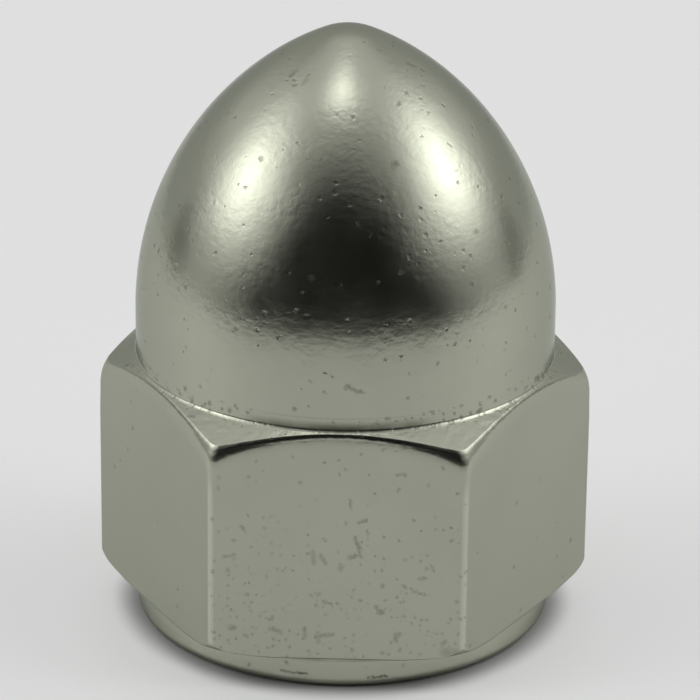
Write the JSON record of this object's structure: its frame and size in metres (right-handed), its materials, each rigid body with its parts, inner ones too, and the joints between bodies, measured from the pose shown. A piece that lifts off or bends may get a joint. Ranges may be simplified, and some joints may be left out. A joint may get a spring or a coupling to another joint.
{
  "type": "cap nut",
  "caption": "High-crown hexagon cap nut: a pointed ogive dome over a hexagon, with a round bearing collar and a blind threaded hole.",
  "frame": {"origin": "centre of the bearing face, where the thread axis leaves the nut", "axes": "+Z along the thread axis, from the bearing face up to the tip of the crown; two of the six flats face -Y and +Y, and two corners lie on X"},
  "size_m": [0.022, 0.019, 0.0272],
  "materials": {
    "nickel_plate": "satin-bright nickel plating over steel, with light storage specks"
  },
  "bodies": {
    "root": {"cap_nut": "nickel_plate"}
  },
  "joints": []
}
